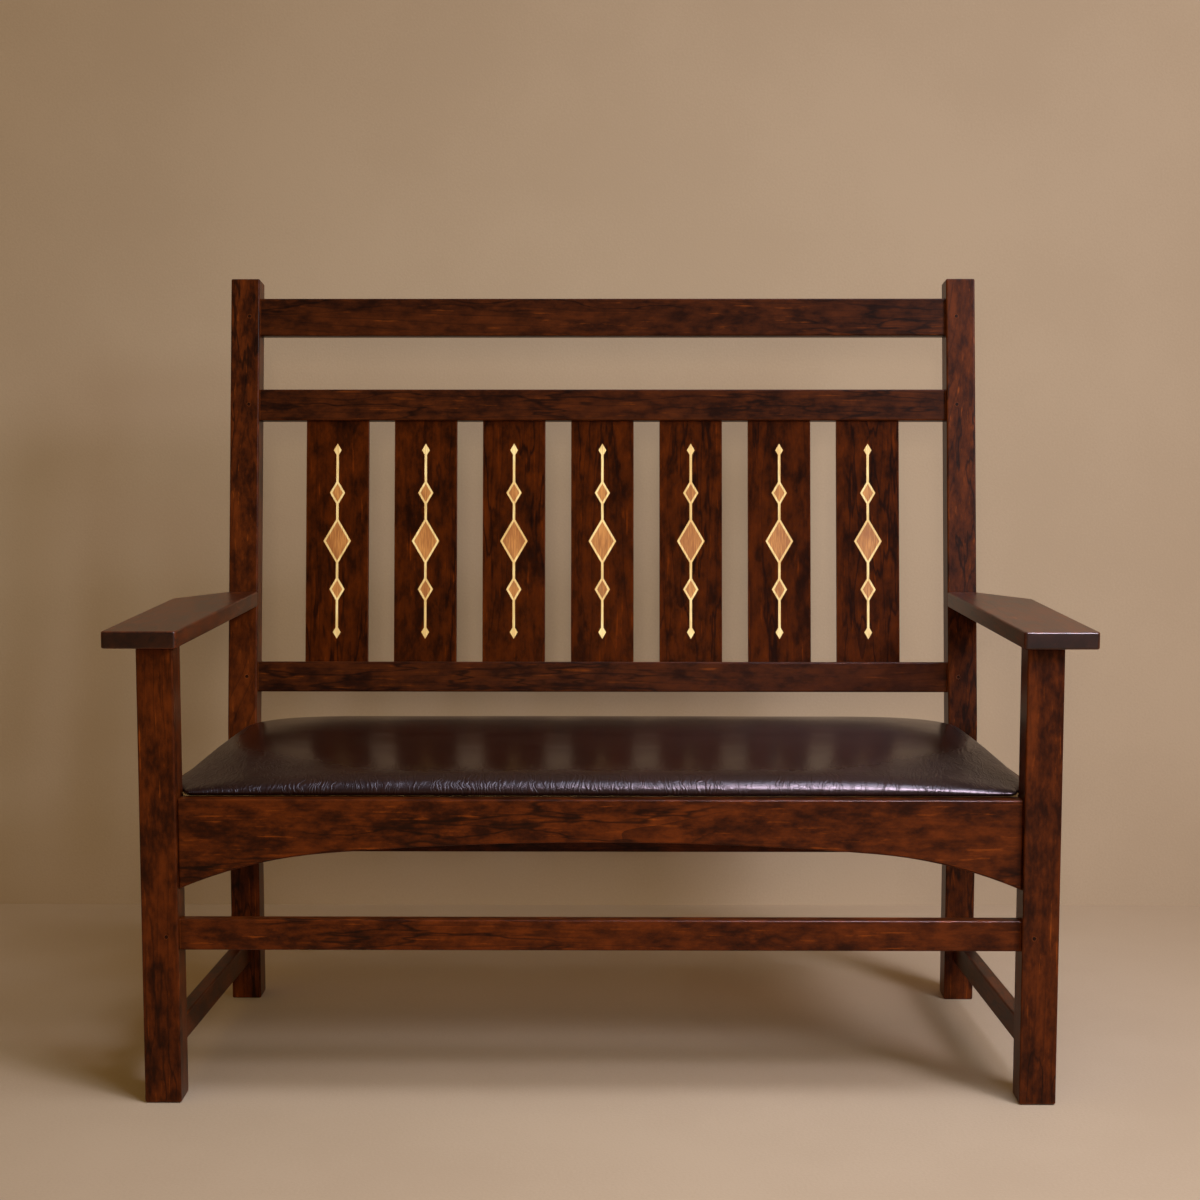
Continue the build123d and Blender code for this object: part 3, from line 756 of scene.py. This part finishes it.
@dataclass
class SlattedBack:
    """The slats and the inlay in each."""

    slat_count: int = 7
    first_seed: int = 83
    # The slats take the darker copy of the wood, as painted shade
    wood: StainedWood = PAINTED_SHADE_SLAT_WOOD
    light: InlayWood = InlayWood("inlay_light", linear(244, 214, 152), linear(214, 172, 106))
    tan: InlayWood = InlayWood("inlay_tan", linear(196, 130, 66), linear(150, 88, 40))

    def build(self) -> None:
        """Dresses the slats, each from its own board, and their inlay."""
        numbers = range(1, self.slat_count + 1)
        slats = [f"back_slat_{number}" for number in numbers]
        WoodMembers(slats, Grain.LEANING, Sawing.FLAT, self.first_seed, self.wood).build()
        light, tan = self.light.material(), self.tan.material()
        for number in numbers:
            dress(f"inlay_line_{number}", light)
            dress(f"inlay_field_{number}", tan)


@dataclass
class SeatSupport:
    """The slip seat's frame and deck, the blocks and ledgers under it, and its fixings."""

    timber: PlainTimber = PlainTimber("frame_wood", linear(196, 160, 112), linear(160, 120, 76))
    board: PlainTimber = PlainTimber("plywood", linear(206, 172, 124), linear(158, 118, 76), True)
    steel: Steel = field(default_factory=Steel)

    def build(self) -> None:
        """Dresses the hidden timber and the steel."""
        timber, board, steel = self.timber.material(), self.board.material(), self.steel.material()
        corners = [f"corner_block_{place}_{end}" for place in ("front", "back") for end in ("left", "right")]
        members = [f"seat_frame_{place}" for place in ("front", "back", "left", "right", "brace")]
        for name in (*corners, *members, "seat_ledger_front", "seat_ledger_back"):
            dress(name, timber)
        dress("seat_deck", board)
        for name in ("corner_block_screws", "seat_screws", "ledger_screws", "cover_tacks"):
            dress(name, steel)


@dataclass(frozen=True)
class SeatPlan:
    """The slip seat's outline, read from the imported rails, legs and posts."""

    near: float
    far: float
    leg_x: float
    leg_y: float
    post_x: float
    post_y: float
    front_half: float
    back_half: float

    @classmethod
    def read(cls, overhang: float, gap: float) -> "SeatPlan":
        """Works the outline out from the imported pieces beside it.

        Args:
            overhang: How far the roll stands over the rails.
            gap: What is left free beside legs and posts.

        Returns:
            The outline.
        """
        cover_low, cover_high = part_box("seat_cover")
        leg_low, leg_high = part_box("front_leg_right")
        post_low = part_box("back_post_right")[0]
        rail_low, rail_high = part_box("side_seat_rail_right")
        front_low, front_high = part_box("front_seat_rail")
        thickness = front_high.y - front_low.y
        return cls(
            near=cover_low.y,
            far=cover_high.y,
            leg_x=leg_low.x - gap,
            leg_y=leg_high.y + gap,
            post_x=post_low.x - gap,
            post_y=post_low.y - gap,
            front_half=rail_high.x - thickness + overhang,
            back_half=rail_low.x + overhang,
        )

    def side(self, y: np.ndarray) -> np.ndarray:
        """How far out the seat's side stands at each depth: a straight line from leg to post."""
        share = (y - self.leg_y) / (self.post_y - self.leg_y)
        return self.front_half + (self.back_half - self.front_half) * share

    def half_width(self, y: np.ndarray, corner: float) -> np.ndarray:
        """Half the seat's width at each depth, with notches and rounded corners.

        Within the corner's radius r of an end, the width falls short by r - sqrt(r^2 - (r - d)^2),
        where d is the distance from the end.

        Args:
            y: Depths.
            corner: The corners' radius.

        Returns:
            Half widths.
        """
        stretches = (
            (self.near, self.leg_y, np.full_like(y, self.leg_x), True, False),
            (self.leg_y, self.post_y, self.side(y), True, True),
            (self.post_y, self.far, np.full_like(y, self.post_x), False, True),
        )
        half = np.zeros_like(y)
        for start, end, width, round_start, round_end in stretches:
            inside = (y >= start) & (y <= end)
            short = np.zeros_like(y)
            for rounded, distance in ((round_start, y - start), (round_end, end - y)):
                reach = np.clip(corner - distance, 0, corner)
                short += (corner - np.sqrt(corner**2 - reach**2)) * rounded
            half = np.where(inside, np.maximum(half, width - short), half)
        return half


def grid_faces(numbers: np.ndarray, flip: bool) -> np.ndarray:
    """The four-sided faces of a grid of points.

    Args:
        numbers: The points' numbers, by row and column.
        flip: Whether the faces look the other way.

    Returns:
        One row of four numbers for each face.
    """
    corners = (numbers[:-1, :-1], numbers[:-1, 1:], numbers[1:, 1:], numbers[1:, :-1])
    faces = np.stack([corner.ravel() for corner in corners], axis=1)
    return faces[:, ::-1] if flip else faces


def mesh_object(name: str, points: np.ndarray, faces: np.ndarray) -> bpy.types.Object:
    """Makes a smooth-shaded object from points and four-sided faces.

    Args:
        name: The object's name.
        points: One row of X, Y and Z for each point.
        faces: One row of four point numbers for each face.

    Returns:
        The object, linked to the scene.
    """
    mesh = bpy.data.meshes.new(name)
    mesh.from_pydata(points.tolist(), [], faces.tolist())
    mesh.update()
    mesh.polygons.foreach_set("use_smooth", np.ones(len(mesh.polygons), bool))
    made = bpy.data.objects.new(name, mesh)
    bpy.context.scene.collection.objects.link(made)
    return made


def points_of(mesh: bpy.types.Mesh) -> np.ndarray:
    """A mesh's points, one row each."""
    points = np.empty(len(mesh.vertices) * 3, np.float32)
    mesh.vertices.foreach_get("co", points)
    return points.reshape(-1, 3).astype(float)


def set_points(mesh: bpy.types.Mesh, points: np.ndarray) -> None:
    """Moves a mesh's points to new places, one row each."""
    mesh.vertices.foreach_set("co", points.astype(np.float32).ravel())
    mesh.update()


def shaped_copy(source: bpy.types.Object, name: str) -> bpy.types.Object:
    """Makes a new object with the shape that an object's modifiers give it, and drops the old one.

    Args:
        source: The object with live modifiers.
        name: The new object's name.

    Returns:
        The new object.
    """
    graph = bpy.context.evaluated_depsgraph_get()
    mesh = bpy.data.meshes.new_from_object(source.evaluated_get(graph))
    old = source.data
    bpy.data.objects.remove(source)
    bpy.data.meshes.remove(old)
    mesh.name = name
    made = bpy.data.objects.new(name, mesh)
    bpy.context.scene.collection.objects.link(made)
    return made


@dataclass(frozen=True)
class Shoulder:
    """How a cushion rises from one edge: over what distance, and how full the curve is."""

    reach: float
    fullness: float

    def rise(self, distance: np.ndarray) -> np.ndarray:
        """The share of the crown that is reached: (1 - (1 - d / r)^p)^(1 / p), a round at p = 2.

        Args:
            distance: How far inside the edge a point lies.

        Returns:
            Shares from 0 to 1.
        """
        left = 1 - np.clip(distance / self.reach, 0, 1)
        return (1 - left**self.fullness) ** (1 / self.fullness)


@dataclass
class LeatherSeat:
    """The leather cushion, whose top falls gently to a front roll, and the hem under its frame."""

    leather: Leather = field(default_factory=Leather)
    crown: float = 0.4455
    edge_height: float = 0.4107
    roll: float = 0.008
    rail_gap: float = 0.001
    ends: Shoulder = Shoulder(0.221, 2.99)
    front: Shoulder = Shoulder(0.048, 2.4)
    fall: float = 0.4
    fall_reach: float = 0.42
    fall_power: float = 1.3
    back: Shoulder = Shoulder(0.055, 1.83)
    notch: Shoulder = Shoulder(0.0103, 2.0)
    leg_dip: float = 0.75
    leg_reach: float = 0.297
    notch_gap: float = 0.0016
    corner: float = 0.012
    columns: int = 300
    rows: int = 130
    voxel: float = 0.005
    pressure: float = 4.0
    cloth_quality: int = 4
    last_frame: int = 20
    swell_cap: float = 0.0025
    pinned_height: float = 0.034
    pin_steps: int = 12
    hem_depth: float = 0.025
    leather_thickness: float = 0.0015
    deck_gap: float = 0.0004

    def __post_init__(self) -> None:
        """Reads the outline of the seat and the heights beside it."""
        self.plan = SeatPlan.read(self.roll - self.rail_gap, self.notch_gap)
        self.rail_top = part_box("front_seat_rail")[1].z
        self.deck_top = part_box("seat_deck")[1].z
        self.hem_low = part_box("seat_cover")[0].z

    def build(self) -> None:
        """Makes the cushion and the hem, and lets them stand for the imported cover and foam."""
        material = self.leather.material()
        cushion = self.cushion()
        hem = self.hem()
        for piece in (cushion, hem):
            piece.data.materials.append(material)
            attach(piece, BODY)
        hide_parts("seat_cover", "seat_foam")
        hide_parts("seat_cover")
        log.info("seat_cushion has %d faces before its last smoothing", len(cushion.data.polygons))

    def depths(self, x: np.ndarray, y: np.ndarray) -> tuple[np.ndarray, ...]:
        """How far inside the sides, the front, the back and the notches a point lies.

        Args:
            x: The points' X.
            y: The points' Y.

        Returns:
            The four distances, none below zero.
        """
        half = self.plan.half_width(y, self.corner)
        aside = self.plan.side(y) - np.abs(x)
        distances = (aside, y - self.plan.near, self.plan.far - y, half - np.abs(x))
        return tuple(np.clip(distance, 0, None) for distance in distances)

    def top(self, x: np.ndarray, y: np.ndarray) -> np.ndarray:
        """Height of the cushion's top: the product of its shoulders, its dips and its fall.

        The dip beside a front leg is 1 - a (1 - g / r)^2, where g is the distance from the leg's inner
        corner. The fall to the front is 1 - f (1 - d / s)^p, where d is the distance from the front.

        Args:
            x: The points' X.
            y: The points' Y.

        Returns:
            Their Z.
        """
        aside, front, back, notch = self.depths(x, y)
        share = self.ends.rise(aside) * self.front.rise(front) * self.back.rise(back) * self.notch.rise(notch)
        gaps = (self.plan.leg_x - np.abs(x), y - self.plan.leg_y)
        from_leg = np.hypot(*(np.clip(gap, 0, None) for gap in gaps))
        share *= 1 - self.leg_dip * np.clip(1 - from_leg / self.leg_reach, 0, 1) ** 2
        share *= 1 - self.fall * np.clip(1 - front / self.fall_reach, 0, 1) ** self.fall_power
        return self.edge_height + (self.crown - self.edge_height) * share

    def underside(self, x: np.ndarray, y: np.ndarray) -> np.ndarray:
        """Height of the underside: a quarter round under the roll, then flat, then up onto the deck.

        Args:
            x: The points' X.
            y: The points' Y.

        Returns:
            Their Z.
        """
        _, front, back, notch = self.depths(x, y)
        inside = np.minimum(np.minimum(front, back), notch)
        lowest = self.rail_top + self.deck_gap
        turn = Shoulder(self.roll, 2.0)
        rolled = self.edge_height - (self.edge_height - lowest) * turn.rise(inside)
        return np.where(inside > 2 * self.roll, self.deck_top + self.deck_gap, rolled)

    def blank(self) -> bpy.types.Object:
        """The cushion's closed form: two sheets over the same outline, joined along their edge.

        Rows run from front to back and columns from side to side, both closer together near the edges.

        Returns:
            The blank.
        """
        rows = np.sin(np.linspace(-1, 1, self.rows) * math.pi / 2) * 0.5 + 0.5
        columns = np.sin(np.linspace(-1, 1, self.columns) * math.pi / 2)
        y = self.plan.near + (self.plan.far - self.plan.near) * rows[:, None] + 0 * columns[None, :]
        x = self.plan.half_width(y, self.corner) * columns[None, :]
        count = self.rows * self.columns
        above = np.arange(count).reshape(self.rows, self.columns)
        below = above + count
        for edge in (np.s_[0, :], np.s_[-1, :], np.s_[:, 0], np.s_[:, -1]):
            below[edge] = above[edge]
        points = np.concatenate(
            [np.stack([x, y, z], axis=-1).reshape(-1, 3) for z in (self.top(x, y), self.underside(x, y))]
        )
        faces = np.concatenate([grid_faces(above, False), grid_faces(below, True)])
        used, faces = np.unique(faces, return_inverse=True)
        return mesh_object("seat_blank", points[used], faces.reshape(-1, 4))

    def cushion(self) -> bpy.types.Object:
        """Makes the cushion: the blank in even small faces, blown up as cloth and eased into place.

        Returns:
            The cushion.
        """
        blank = self.blank()
        remesh = blank.modifiers.new("even_faces", "REMESH")
        remesh.mode = "VOXEL"
        remesh.voxel_size = self.voxel
        cushion = shaped_copy(blank, "seat_cushion")
        rest = points_of(cushion.data)
        cushion = self.blown_up(cushion, rest)
        set_points(cushion.data, self.settled(rest, points_of(cushion.data)))
        cushion.data.polygons.foreach_set("use_smooth", np.ones(len(cushion.data.polygons), bool))
        smooth = cushion.modifiers.new("soft_faces", "SUBSURF")
        smooth.levels = 1
        smooth.render_levels = 1
        return cushion

    def blown_up(self, cushion: bpy.types.Object, rest: np.ndarray) -> bpy.types.Object:
        """Runs the cushion as cloth under air pressure, with its underside held.

        Args:
            cushion: The cushion in even faces.
            rest: Its points.

        Returns:
            The swollen cushion.
        """
        held = cushion.vertex_groups.new(name="held")
        above = (rest[:, 2] - self.edge_height) / self.pinned_height
        steps = np.clip(np.ceil((1 - above) * self.pin_steps), 0, self.pin_steps).astype(int)
        for step in range(1, self.pin_steps + 1):
            held.add(np.flatnonzero(steps == step).tolist(), step / self.pin_steps, "REPLACE")
        cloth = cushion.modifiers.new("air", "CLOTH")
        cloth.settings.vertex_group_mass = held.name
        cloth.settings.use_pressure = True
        cloth.settings.uniform_pressure_force = self.pressure
        cloth.settings.effector_weights.gravity = 0
        cloth.settings.quality = self.cloth_quality
        cloth.point_cache.frame_start = 1
        cloth.point_cache.frame_end = self.last_frame
        scene = bpy.context.scene
        for number in range(1, self.last_frame + 1):
            scene.frame_set(number)
        swollen = shaped_copy(cushion, "seat_cushion")
        scene.frame_set(1)
        return swollen

    def settled(self, rest: np.ndarray, swollen: np.ndarray) -> np.ndarray:
        """Scales the swelling down to its cap and keeps the cushion clear of legs and posts.

        Args:
            rest: The points before the swelling.
            swollen: The points after it.

        Returns:
            The final points.
        """
        moved = swollen - rest
        furthest = np.linalg.norm(moved, axis=1).max()
        points = rest + moved * self.swell_cap / max(furthest, self.swell_cap)
        x, y, z = points.T
        y = np.clip(y, self.plan.near, self.plan.far)
        half = self.plan.half_width(y, self.corner)
        x = np.clip(x, -half, half)
        return np.stack([x, y, z], axis=1)

    def hem(self) -> bpy.types.Object:
        """Makes the leather that runs down inside the rails and turns in under the frame.

        A profile of distances inwards and heights is carried round the seat's outline: each point is
        the outline's corner plus its mitre direction times the distance.

        Returns:
            The hem.
        """
        plan = self.plan
        inset = self.roll
        half = [
            (plan.leg_x, plan.near + inset),
            (plan.leg_x, plan.leg_y),
            (plan.front_half - inset, plan.leg_y),
            (plan.back_half - inset, plan.post_y),
            (plan.post_x, plan.post_y),
            (plan.post_x, plan.far - inset),
        ]
        corners = np.array(half + [(-x, y) for x, y in reversed(half)])
        before = corners - np.roll(corners, 1, axis=0)
        after = np.roll(corners, -1, axis=0) - corners
        inwards = []
        for step in (before, after):
            unit = step / np.linalg.norm(step, axis=1, keepdims=True)
            inwards.append(np.stack([-unit[:, 1], unit[:, 0]], axis=1))
        mitre = inwards[0] + inwards[1]
        mitre /= (mitre * inwards[0]).sum(axis=1, keepdims=True)
        bend = self.leather_thickness
        low = self.hem_low + bend / 2
        profile = np.array(
            [
                (bend / 2, self.rail_top),
                (bend / 2, low + bend),
                (bend, low),
                (self.hem_depth, low),
            ]
        )
        ring = corners[:, None, :] + mitre[:, None, :] * profile[None, :, :1]
        height = np.broadcast_to(profile[None, :, 1:], (len(corners), len(profile), 1))
        points = np.concatenate([ring, height], axis=2)
        numbers = np.arange(len(corners) * len(profile)).reshape(len(corners), len(profile))
        loop = np.concatenate([numbers, numbers[:1]])
        hem = mesh_object("seat_hem", points.reshape(-1, 3), grid_faces(loop, True))
        wall = hem.modifiers.new("hide", "SOLIDIFY")
        wall.thickness = self.leather_thickness
        wall.offset = 0
        return hem


@dataclass(frozen=True)
class Lamp:
    """A soft square light, with a grid over it below 180 degrees, that can leave out gloss or plain light."""

    name: str
    place: Corner
    aim: Corner
    size: float
    power: float
    colour: Colour
    spread_degrees: float = 180.0
    gloss: bool = True
    diffuse: bool = True

    def build(self) -> None:
        """Hangs the lamp so that it faces its aim."""
        data = bpy.data.lights.new(self.name, "AREA")
        data.energy = self.power
        data.size = self.size
        data.color = self.colour
        data.spread = math.radians(self.spread_degrees)
        lamp = bpy.data.objects.new(self.name, data)
        lamp.location = self.place
        lamp.rotation_euler = (Vector(self.aim) - Vector(self.place)).to_track_quat("-Z", "Y").to_euler()
        lamp.visible_glossy = self.gloss
        lamp.visible_diffuse = self.diffuse
        bpy.context.scene.collection.objects.link(lamp)


@dataclass
class Studio:
    """Floor, wall, lamps, world and camera."""

    paint: Colour = linear(178, 152, 128)
    paint_shade: Colour = linear(174, 148, 124)
    far_colour: Colour = linear(176, 150, 126)
    ambient: Colour = (0.426, 0.324, 0.102)
    mirrored: Colour = (0.12, 0.10, 0.095)
    wall_y: float = 0.777
    reach: float = 9.0
    wall_height: float = 6.0
    cloud: Pattern = Pattern((3.0, 3.0, 3.0), 1.0, 4.0)
    speck: Pattern = Pattern((260.0, 260.0, 260.0), 2.0, 2.0)
    clouded: Mask = Mask(0.40, 0.60)
    roughness: float = 0.85
    gloss: float = 0.2
    relief: float = 0.0008
    lens: float = 63.34
    sensor_width: float = 36.0
    camera_place: Corner = (0.0207, -2.9988, 0.9366)
    pitch_down: float = 5.71
    yaw: float = 0.43
    lamps: tuple[Lamp, ...] = (
        Lamp(
            name="window_right",
            place=(2.2, -2.2, 2.4),
            aim=(0.0, 0.0, 0.5),
            size=0.8,
            power=71.8,
            colour=(0.80, 0.85, 1.0),
        ),
        Lamp(
            name="overhead",
            place=(0.9, -1.1, 3.2),
            aim=(0.3, -0.6, 0.0),
            size=1.5,
            power=20.9,
            colour=(0.70, 0.82, 1.0),
            spread_degrees=90.0,
        ),
        Lamp(
            name="window_front",
            place=(2.7, -3.8, 2.2),
            aim=(0.0, 0.3, 0.6),
            size=1.2,
            power=24.6,
            colour=(0.70, 0.90, 1.0),
            spread_degrees=120.0,
        ),
        Lamp(
            name="sheen",
            place=(0.75, -1.5, 1.75),
            aim=(0.45, -0.3, 0.42),
            size=0.6,
            power=5.0,
            colour=(0.90, 0.84, 1.0),
            spread_degrees=30.0,
            diffuse=False,
        ),
        Lamp(
            name="fill",
            place=(0.0, -3.25, 1.15),
            aim=(0.0, 0.3, 0.55),
            size=0.3,
            power=1.2,
            colour=(1.0, 0.95, 0.79),
            spread_degrees=34.0,
            gloss=False,
        ),
    )

    def build(self) -> None:
        """Sets the whole studio up."""
        material = self.plaster()
        for piece in (self.wall(), self.floor()):
            piece.data.materials.append(material)
        for lamp in self.lamps:
            lamp.build()
        self.world()
        self.camera()
        bpy.context.scene.view_settings.view_transform = "Standard"

    def plaster(self) -> bpy.types.Material:
        """Makes the matt paint of floor and wall, faintly clouded and seen from its front only.

        Returns:
            The material.
        """
        material, sheet = new_material("studio_paint")
        local = sheet.place()
        cloud, speck = sheet.pattern(local, self.cloud), sheet.pattern(local, self.speck)
        tone = sheet.masked(cloud * 0.6 + speck * 0.4, self.clouded)
        paint = sheet.node(
            "ShaderNodeBsdfPrincipled",
            inputs={
                "Base Color": sheet.mix(tone, self.paint_shade, self.paint),
                "Roughness": self.roughness,
                "Specular IOR Level": self.gloss,
                "Normal": sheet.bump(speck, self.relief, 0.3),
            },
        )
        clear = sheet.node("ShaderNodeBsdfTransparent")
        behind = sheet.signal("ShaderNodeNewGeometry", output="Backfacing")
        shown = sheet.node(
            "ShaderNodeMixShader",
            inputs={0: behind, 1: Signal(sheet, paint.outputs[0]), 2: Signal(sheet, clear.outputs[0])},
        )
        sheet.node("ShaderNodeOutputMaterial", inputs={"Surface": Signal(sheet, shown.outputs[0])})
        return material

    def carried(self, name: str, profile: np.ndarray, flip: bool) -> bpy.types.Object:
        """Carries a profile of Y and Z along X over the whole reach.

        Args:
            name: The sheet's name.
            profile: One row of Y and Z for each point.
            flip: Whether its faces look the other way.

        Returns:
            The sheet.
        """
        ends = np.array((-self.reach, self.reach))
        x = np.broadcast_to(ends[:, None, None], (2, len(profile), 1))
        points = np.concatenate([x, np.broadcast_to(profile, (2, *profile.shape))], axis=2)
        numbers = np.arange(2 * len(profile)).reshape(2, len(profile))
        return mesh_object(name, points.reshape(-1, 3), grid_faces(numbers, flip))

    def wall(self) -> bpy.types.Object:
        """Makes the wall, which stands on the floor."""
        profile = np.array([(self.wall_y, 0.0), (self.wall_y, self.wall_height)])
        return self.carried("studio_wall", profile, True)

    def floor(self) -> bpy.types.Object:
        """Makes the floor, which runs on behind the wall."""
        profile = np.array([(-self.reach, 0.0), (self.reach, 0.0)])
        return self.carried("studio_floor", profile, True)

    def world(self) -> None:
        """Gives the surroundings: plain where seen, dim in reflections, soft warm light elsewhere."""
        world = bpy.data.worlds.new("studio_world")
        bpy.context.scene.world = world
        world.use_nodes = True
        sheet = NodeSheet(world.node_tree)
        path = sheet.node("ShaderNodeLightPath")
        seen = sheet.math(
            "MAXIMUM",
            Signal(sheet, path.outputs["Is Camera Ray"]),
            Signal(sheet, path.outputs["Is Transmission Ray"]),
        )
        soft = sheet.mix(Signal(sheet, path.outputs["Is Glossy Ray"]), self.ambient, self.mirrored)
        glow = sheet.node("ShaderNodeBackground", inputs={"Color": soft, "Strength": 1.0})
        far = sheet.node("ShaderNodeBackground", inputs={"Color": (*self.far_colour, 1), "Strength": 1.0})
        shown = sheet.node(
            "ShaderNodeMixShader",
            inputs={0: seen, 1: Signal(sheet, glow.outputs[0]), 2: Signal(sheet, far.outputs[0])},
        )
        sheet.node("ShaderNodeOutputWorld", inputs={"Surface": Signal(sheet, shown.outputs[0])})

    def camera(self) -> None:
        """Places the camera at the photograph's height, distance and tilt."""
        data = bpy.data.cameras.new("camera")
        data.lens = self.lens
        data.sensor_width = self.sensor_width
        camera = bpy.data.objects.new("camera", data)
        camera.location = self.camera_place
        camera.rotation_euler = (math.radians(90 - self.pitch_down), 0, math.radians(self.yaw))
        bpy.context.scene.collection.objects.link(camera)
        bpy.context.scene.camera = camera


def main() -> None:
    """Builds the settee's pieces and the studio in order."""
    logging.basicConfig(level=logging.INFO, format="%(name)s: %(message)s")
    Studio().build()
    SetteeFrame().build()
    SlattedBack().build()
    SeatSupport().build()
    LeatherSeat().build()


if __name__ == "__main__":
    main()
